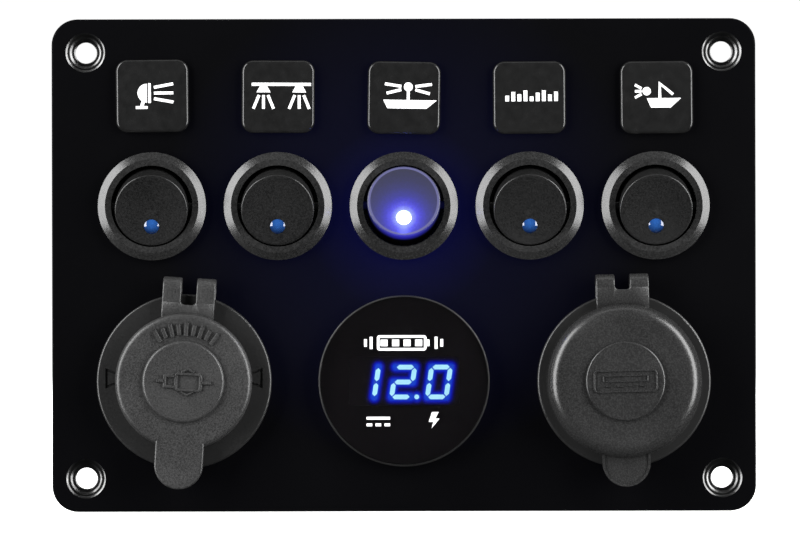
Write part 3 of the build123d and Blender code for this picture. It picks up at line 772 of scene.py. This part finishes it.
# Size and grid step of the painted bloom sheet, and how far the painted bloom reaches from the
# segments.
BLOOM_HALF_U = 11.7
BLOOM_HALF_V = 5.2
BLOOM_STEP = 0.2
BLOOM_REACH = 0.75
MASK_R = 17.6
MASK_HALF_U = 11.75
MASK_HALF_V = 5.25
MASK_BACK = 0.03
MASK_FRONT = 0.08


def slanted(u, v, centre):
    """A point of an upright digit, leant over and moved to its place on the display."""
    return (centre + u + v * DIGIT_SLANT, v + DIGITS_V)


def segment_lines():
    """The centre line of every lit segment."""
    lines = []
    for centre, lit in DIGITS:
        for letter in lit:
            ends = SEGMENTS[letter]
            lines.append([(u * DIGIT_HALF_WIDTH, v * DIGIT_HALF_HEIGHT, centre) for u, v in ends])
    return lines


def bar(mark, start, end):
    """One segment: a slanted bar with pointed ends and a small gap at each."""
    half = SEGMENT_WIDTH / 2
    gap = SEGMENT_GAP
    du = end[0] - start[0]
    dv = end[1] - start[1]
    length = math.hypot(du, dv)
    du /= length
    dv /= length
    profile = [
        (gap, 0),
        (gap + half, -half),
        (length - gap - half, -half),
        (length - gap, 0),
        (length - gap - half, half),
        (gap + half, half),
    ]
    corners = []
    for along, side in profile:
        u = start[0] + du * along - dv * side
        v = start[1] + dv * along + du * side
        corners.append(slanted(u, v, start[2]))
    mark.plate(corners)


def meter_digits(spot):
    """The reading, and its decimal point, as lit bars just off the display."""
    mark = Relief(spot, 0.02, 0.08)
    for start, end in segment_lines():
        bar(mark, start, end)
    mark.dot(POINT_R, *POINT)
    lit = glowing("lit_segment", (0.40, 0.86, 1.0), 2.1)
    mark.piece("meter_digits", lit, "panel", "display_black")


def distance_to_line(point, a, b):
    du = b[0] - a[0]
    dv = b[1] - a[1]
    along = ((point[0] - a[0]) * du + (point[1] - a[1]) * dv) / (du * du + dv * dv)
    along = min(max(along, 0.0), 1.0)
    return math.hypot(point[0] - a[0] - du * along, point[1] - a[1] - dv * along)


def meter_painted_bloom(spot):
    """A thin sheet over the lamp block that carries the digits' painted blue bloom."""
    lines = [(slanted(*start), slanted(*end)) for start, end in segment_lines()]
    columns = round(2 * BLOOM_HALF_U / BLOOM_STEP)
    rows = round(2 * BLOOM_HALF_V / BLOOM_STEP)
    verts = []
    painted_glow = []
    faces = []
    for row in range(rows + 1):
        for column in range(columns + 1):
            point = (column * BLOOM_STEP - BLOOM_HALF_U, row * BLOOM_STEP - BLOOM_HALF_V)
            nearest = min(distance_to_line(point, a, b) for a, b in lines) - SEGMENT_WIDTH / 2
            dot = math.hypot(point[0] - POINT[0], point[1] - POINT[1]) - POINT_R
            nearest = max(min(nearest, dot), 0.0)
            painted_glow.append(math.exp(-((nearest / BLOOM_REACH) ** 2)))
            verts.append(spot.at(*point, 0.01))
            if row and column:
                here = row * (columns + 1) + column
                below = here - columns - 1
                faces.append([below - 1, below, here, here - 1])
    sheet = mesh_object("meter_painted_bloom", verts, faces, painted_bloom_material())
    sheet.data.attributes.new("painted_glow", "FLOAT", "POINT").data.foreach_set("value", painted_glow)
    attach(sheet, "panel")


def meter_prints(spot):
    """Battery gauge above the digits; direct current and a bolt below them."""
    mark = Relief(spot, -0.01, 0.025)
    mark.stroke(rounded_box(5.0, 1.35, 0.3, -0.5, 8.1), 0.55, closed=True)
    mark.plate([(4.75, 7.4), (5.4, 7.4), (5.4, 8.8), (4.75, 8.8)])
    for index in range(4):
        u = -4.25 + index * 2.45
        mark.stroke([(u, 7.4), (u, 8.8)], 1.5)
    for side in (-1, 1):
        for index in range(2):
            u = -0.1 + side * (6.9 + index * 1.2)
            mark.stroke([(u, 6.8 + 0.5 * index), (u, 9.4 - 0.5 * index)], 0.6)
    mark.stroke([(-8.0, -7.9), (-3.0, -7.9)], 0.6)
    for index in range(3):
        u = -8.0 + index * 1.9
        mark.stroke([(u, -9.3), (u + 1.2, -9.3)], 0.6)
    mark.plate(
        [(5.8, -10.1), (7.5, -8.0), (6.6, -8.0), (7.3, -6.6), (5.9, -6.6), (5.2, -8.7), (6.2, -8.7)]
    )
    mark.piece("meter_print", WHITE, "panel", "smoked_window")


def meter_mask():
    """Black print on the back of the window, with a clear opening over the digits."""
    low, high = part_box("meter_lens")
    spot = Spot((low.x + high.x) / 2, high.y, (low.z + high.z) / 2)
    outer = arc(MASK_R, 0, 360, 96)[:-1]
    window = []
    for u, v in outer:
        angle = math.atan2(v, u)
        to_side = MASK_HALF_U / max(abs(math.cos(angle)), 1e-6)
        to_top = MASK_HALF_V / max(abs(math.sin(angle)), 1e-6)
        reach = min(to_side, to_top)
        window.append((reach * math.cos(angle), reach * math.sin(angle)))
    shells = Shells(spot)
    rows = ((outer, MASK_BACK), (outer, MASK_FRONT), (window, MASK_FRONT), (window, MASK_BACK))
    shells.loops([[(u, v, h) for u, v in line] for line, h in rows], closed=True)
    dark = (0.0030, 0.0024, 0.0030)
    light = (0.0052, 0.0044, 0.0052)
    black = grained("window_print", dark, light, 0.5, 0.8, 0.002, 0.2)
    made = mesh_object("meter_mask", shells.verts, shells.faces, black, smooth=False)
    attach(made, "panel")


def meter_face():
    centre = middle("meter_lens")
    display = Spot(centre.x, front_y("meter_display"), centre.z)
    meter_mask()
    meter_painted_bloom(display)
    meter_digits(display)
    meter_prints(Spot(centre.x, front_y("meter_lens"), centre.z))


# ---------------------------------------------------------------- marks on the rubber caps

OUTLET_TURN = -3.5
CHARGER_TURN = 1.2
BOSS_HEIGHT = 0.8
MARK_SUNK = 0.1
OUTLET_MARK_HEIGHT = 0.42
OUTLET_MARK_DRAFT = 0.14
CHARGER_MARK_HEIGHT = 0.3
CHARGER_MARK_DRAFT = 0.12


def raised(housing, y, turn, height, draft):
    """Empty raised marks in front of a socket, at some depth."""
    centre = middle(housing)
    return Relief(Spot(centre.x, y, centre.z, turn), -MARK_SUNK, height, draft)


def outlet_marks():
    """A fan of short ribs above the raised centre, and an accessory plug on it."""
    size = (OUTLET_TURN, OUTLET_MARK_HEIGHT, OUTLET_MARK_DRAFT)
    boss_front = front_y("outlet_cap")
    fan = raised("outlet_housing", boss_front + BOSS_HEIGHT * MM, *size)
    for index in range(-4, 5):
        angle = math.radians(90 + index * 8.2)
        inner = 10.0 if index % 2 else 9.8
        outer = 12.3 if index % 2 else 12.6
        line = [(r * math.cos(angle), r * math.sin(angle)) for r in (inner, outer)]
        fan.stroke(line, 0.95)
    rubber = MATERIALS["cap_rubber"]
    soften(fan.piece("outlet_cap_ribs", rubber, "outlet_flip_cap", "cap_rubber"), 0.08)
    plug = raised("outlet_housing", boss_front, *size)
    plug.stroke(rounded_box(2.6, 1.7, 0.5, 1.1, 0), 0.75, closed=True)
    plug.stroke([(-1.9, 1.15), (-3.9, 1.15), (-3.9, -1.15), (-1.9, -1.15)], 0.75)
    plug.stroke([(-4.2, 0), (-5.6, 0)], 0.9)
    plug.stroke([(4.1, 0), (5.9, 0)], 0.8)
    plug.stroke([(-0.4, 2.1), (0.9, 2.75), (2.2, 2.1)], 0.6)
    plug.stroke([(-0.4, -2.1), (0.9, -2.75), (2.2, -2.1)], 0.6)
    soften(plug.piece("outlet_cap_plug_mark", rubber, "outlet_flip_cap", "cap_rubber"), 0.08)


def charger_marks():
    """A charging port drawn in raised outline."""
    size = (CHARGER_TURN, CHARGER_MARK_HEIGHT, CHARGER_MARK_DRAFT)
    mark = raised("charger_housing", front_y("charger_cap"), *size)
    mark.stroke(rounded_box(6.6, 2.2, 0.7), 0.5, closed=True)
    mark.stroke(rounded_box(4.7, 0.6, 0.25, 0, 0.55), 0.42, closed=True)
    for index in range(4):
        u = -3.6 + index * 2.4
        mark.stroke([(u - 0.5, -1.05), (u + 0.5, -1.05)], 0.4)
    rubber = MATERIALS["charger_rubber"]
    soften(mark.piece("charger_cap_port_mark", rubber, "charger_flip_cap", "charger_rubber"), 0.06)


# ---------------------------------------------------------------- rubber straps

STRAP_BEND_R = 2.0
STRAP_THICK = 1.0
BAND_SUNK = 0.04
STRAP_INNER_U = 1.6
STRAP_OUTER_U = 5.6
STRAP_BACK_H = 3.0
STRAP_FRONT_H = 7.0
RING_BORE_R = 14.2
RING_EDGE = 0.2
BRIDGE_EDGE = 0.22
BRIDGE_ARM = 0.6
VALLEY_R = 0.9


def strap_section(width):
    """A band's cross-section: a rounded rectangle, as (across, through) points."""
    return rounded_box(width / 2, STRAP_THICK / 2 - BAND_SUNK, 0.28, count=3)


def strap_path(top, foot_back, foot_front):
    """The line up the back arm, over the bend and down the front arm, as (v, h) points."""
    bend_v = top - STRAP_BEND_R - STRAP_THICK / 2
    bend_h = (STRAP_BACK_H + STRAP_FRONT_H) / 2
    path = []
    steps = 8
    for index in range(steps):
        path.append((foot_back + (bend_v - foot_back) * index / steps, STRAP_BACK_H))
    for h, v in arc(STRAP_BEND_R, 180, 0, 20):
        path.append((bend_v + v, bend_h + h))
    for index in range(1, steps + 1):
        path.append((bend_v + (foot_front - bend_v) * index / steps, STRAP_FRONT_H))
    return path


def strap_ring(ring_r):
    """The flat ring round a socket's barrel, as rows of points round its section."""
    low = STRAP_BACK_H - STRAP_THICK / 2
    high = STRAP_BACK_H + STRAP_THICK / 2
    section = (
        (low, RING_BORE_R),
        (low, ring_r - RING_EDGE),
        (low + RING_EDGE, ring_r),
        (high - RING_EDGE, ring_r),
        (high, ring_r - RING_EDGE),
        (high, RING_BORE_R),
    )
    return [[(u, v, h) for u, v in arc(r, 0, 360, 96)[:-1]] for h, r in section]


def strap_band(path, centre):
    """One band along the strap's path, as rows of points round its section."""
    section = strap_section(STRAP_OUTER_U - STRAP_INNER_U)
    rows = []
    for index, (v, h) in enumerate(path):
        before = path[max(index - 1, 0)]
        after = path[min(index + 1, len(path) - 1)]
        dv = after[0] - before[0]
        dh = after[1] - before[1]
        length = math.hypot(dv, dh)
        rows.append(
            [
                (centre + across, v - through * dh / length, h + through * dv / length)
                for across, through in section
            ]
        )
    return rows


def strap_bridge(bridge_v, cap_r):
    """The plate that joins the bands to the cap, with a rounded valley between them."""
    low = STRAP_FRONT_H - STRAP_THICK / 2
    high = STRAP_FRONT_H + STRAP_THICK / 2
    reach = cap_r - 0.6
    edge = math.degrees(math.asin(STRAP_OUTER_U / reach))
    valley_u = STRAP_INNER_U + 0.05
    outline = arc(reach, 90 - edge, 90 + edge, 16)[::-1] + [
        (STRAP_OUTER_U, bridge_v + BRIDGE_ARM),
        (valley_u + 0.4, bridge_v + BRIDGE_ARM),
        (valley_u, bridge_v + VALLEY_R),
    ]
    outline += arc(VALLEY_R, 0, -90, 5, valley_u - VALLEY_R, bridge_v + VALLEY_R)[1:]
    outline += arc(VALLEY_R, 270, 180, 5, -valley_u + VALLEY_R, bridge_v + VALLEY_R)
    outline += [(-valley_u - 0.4, bridge_v + BRIDGE_ARM), (-STRAP_OUTER_U, bridge_v + BRIDGE_ARM)]
    section = (
        (low, BRIDGE_EDGE),
        (low + BRIDGE_EDGE, 0),
        (high - BRIDGE_EDGE, 0),
        (high, BRIDGE_EDGE),
    )
    return [[(u, v, h) for u, v in offset(outline, inset, True)] for h, inset in section]


def strap(name, spot, top, ring_r, bridge_v, cap_r, slot):
    """One moulding: the ring under the flange, two bands round the bend, and the bridge."""
    shells = Shells(spot)
    shells.loops(strap_ring(ring_r), closed=True)
    path = strap_path(top, ring_r - 2.0, bridge_v - 1.2)
    for side in (-1, 1):
        shells.loops(strap_band(path, side * (STRAP_INNER_U + STRAP_OUTER_U) / 2))
    shells.loops(strap_bridge(bridge_v, cap_r))
    made = mesh_object(name, shells.verts, shells.faces, MATERIALS[slot])
    return made


def straps():
    """The two straps, which bend between the panel and their caps."""
    for kind, turn, top, ring_r, bridge_v, cap_r, slot in (
        ("outlet", OUTLET_TURN, 22.1, 18.2, 16.3, 14.5, "cap_rubber"),
        ("charger", CHARGER_TURN, 22.7, 18.05, 19.4, 16.3, "charger_rubber"),
    ):
        housing = middle(f"{kind}_housing")
        spot = Spot(housing.x, 0.0, housing.z, turn)
        made = strap(f"{kind}_strap", spot, top, ring_r, bridge_v, cap_r, slot)
        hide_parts(f"{kind}_strap_ring", f"{kind}_strap_end")
        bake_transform(made)


# ---------------------------------------------------------------- threads on the barrels

def thread(name, node, depth_from, depth_to):
    """A helical ridge round a socket's barrel, behind the panel."""
    root_r = 13.95
    crest_r = 14.35
    root_half = 0.5
    crest_half = 0.16
    pitch = 1.5
    per_turn = 64
    centre = middle(node)
    spot = Spot(centre.x, 0.0, centre.z)
    profile = ((root_r, -root_half), (crest_r, -crest_half), (crest_r, crest_half), (root_r, root_half))
    steps = int((depth_to - depth_from) / pitch * per_turn)
    lead_in = per_turn / 2
    loops = []
    for index in range(steps + 1):
        angle = 2 * math.pi * index / per_turn
        depth = depth_from + pitch * index / per_turn
        grow = min(1.0, index / lead_in, (steps - index) / lead_in)
        loop = []
        for radius, shift in profile:
            r = root_r + (radius - root_r) * grow
            loop.append((r * math.cos(angle), r * math.sin(angle), -depth - shift))
        loops.append(loop)
    shells = Shells(spot)
    shells.loops(loops)
    made = mesh_object(name, shells.verts, shells.faces, MATERIALS["socket_plastic"], smooth=False)
    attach(made, "panel")


def threads():
    """The threads start behind the ring nuts and stop short of the rear covers."""
    start = 8.6
    for kind, end in (("outlet", 49.0), ("meter", 15.2), ("charger", 23.2)):
        thread(f"{kind}_thread", f"{kind}_housing", start, end)


# ---------------------------------------------------------------- stage, lights and camera

def area_light(name, place, target, width, height, radiance, colour=(1.0, 1.0, 1.0)):
    """A soft box of a given brightness, which the camera doesn't see."""
    data = bpy.data.lights.new(name, "AREA")
    data.shape = "RECTANGLE"
    data.size = width
    data.size_y = height
    data.energy = radiance * math.pi * width * height
    data.color = colour
    made = bpy.data.objects.new(name, data)
    made.location = place
    made.rotation_euler = (Vector(target) - Vector(place)).to_track_quat("-Z", "Y").to_euler()
    made.visible_camera = False
    bpy.context.scene.collection.objects.link(made)
    return made


def studio_lights():
    """Tall soft boxes at the sides, two behind for the rear, and a dim one overhead."""
    centre = (0.0, 0.0, 0.0)
    for side in (-1, 1):
        area_light(f"side_box_{side + 1}", (side * 0.72, -0.37, 0.20), centre, 0.40, 1.05, 12.0)
        area_light(f"rear_box_{side + 1}", (side * 0.35, 0.9, 0.45), centre, 0.45, 0.45, 14.0)
    area_light("top_box", (0.0, -0.12, 0.8), centre, 1.0, 0.25, 1.2)


def switch_lamp():
    """The blue light that the lit lens throws on its bezel and the panel."""
    watts = 0.0011
    ahead = 0.0022
    below = 0.0006
    lens = middle(LIT_LENS_NODE)
    data = bpy.data.lights.new("switch_lamp", "POINT")
    data.energy = watts
    data.color = (0.12, 0.16, 1.0)
    data.shadow_soft_size = 0.001
    made = bpy.data.objects.new("switch_lamp", data)
    made.location = (lens.x, front_y(LIT_LENS_NODE) - ahead, lens.z - below)
    bpy.context.scene.collection.objects.link(made)


def camera_only(tree, seen, unseen):
    """Mix two shaders: what the camera sees, and what other rays meet."""
    mix = tree.nodes.new("ShaderNodeMixShader")
    path = tree.nodes.new("ShaderNodeLightPath")
    tree.links.new(path.outputs["Is Camera Ray"], mix.inputs[0])
    tree.links.new(unseen, mix.inputs[1])
    tree.links.new(seen, mix.inputs[2])
    return mix.outputs[0]


def world():
    """A white studio to the camera, and a dim one to the object."""
    made = bpy.data.worlds.new("studio")
    bpy.context.scene.world = made
    made.use_nodes = True
    tree = made.node_tree
    tree.nodes.clear()
    output = tree.nodes.new("ShaderNodeOutputWorld")
    seen = tree.nodes.new("ShaderNodeBackground")
    seen.inputs["Color"].default_value = (1, 1, 1, 1)
    seen.inputs["Strength"].default_value = 1.02
    unseen = tree.nodes.new("ShaderNodeBackground")
    unseen.inputs["Color"].default_value = (0.9, 0.95, 1, 1)
    unseen.inputs["Strength"].default_value = 0.03
    mixed = camera_only(tree, seen.outputs[0], unseen.outputs[0])
    tree.links.new(mixed, output.inputs["Surface"])


def floor():
    """A pale floor just under the panel, which casts no shadow and shows in no reflection."""
    gap = 0.0002
    half = 6.0
    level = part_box("front_panel")[0].z - gap
    corners = [(-half, -half, level), (half, -half, level), (half, half, level), (-half, half, level)]
    graph = Graph("pale_floor")
    pale = graph.shader(
        Base_Color=graph.ramp(graph.noise(3, 2.0), (0.3, 0.8), (0.7, 0.84)),
        Roughness=0.9,
        Emission_Color=(1.0, 1.0, 1.0),
        Emission_Strength=1.05,
    )
    dim = graph.shader(
        Base_Color=graph.ramp(graph.noise(3, 2.0), (0.3, 0.05), (0.7, 0.06)),
        Roughness=0.9,
        Emission_Color=(1.0, 1.0, 1.0),
        Emission_Strength=0.12,
    )
    surface = camera_only(graph.tree, pale, dim)
    made = mesh_object("floor", corners, [(0, 1, 2, 3)], graph.finish(surface))
    made.visible_glossy = False
    made.visible_shadow = False


def camera():
    """Straight on, a little left of and below the panel's centre."""
    distance = 0.9
    frame_width = 0.17047
    left = 0.00083
    below = 0.00202
    roll = 0.12
    data = bpy.data.cameras.new("camera")
    data.sensor_width = 36.0
    data.lens = data.sensor_width * (distance + front_y("front_panel")) / frame_width
    made = bpy.data.objects.new("camera", data)
    made.location = (-left, -distance, -below)
    made.rotation_euler = (math.radians(90), math.radians(roll), 0)
    bpy.context.scene.collection.objects.link(made)
    bpy.context.scene.camera = made


dress_cad()
label_prints()
meter_face()
outlet_marks()
charger_marks()
straps()
threads()
studio_lights()
switch_lamp()
world()
floor()
camera()
bpy.context.scene.view_settings.view_transform = "Standard"
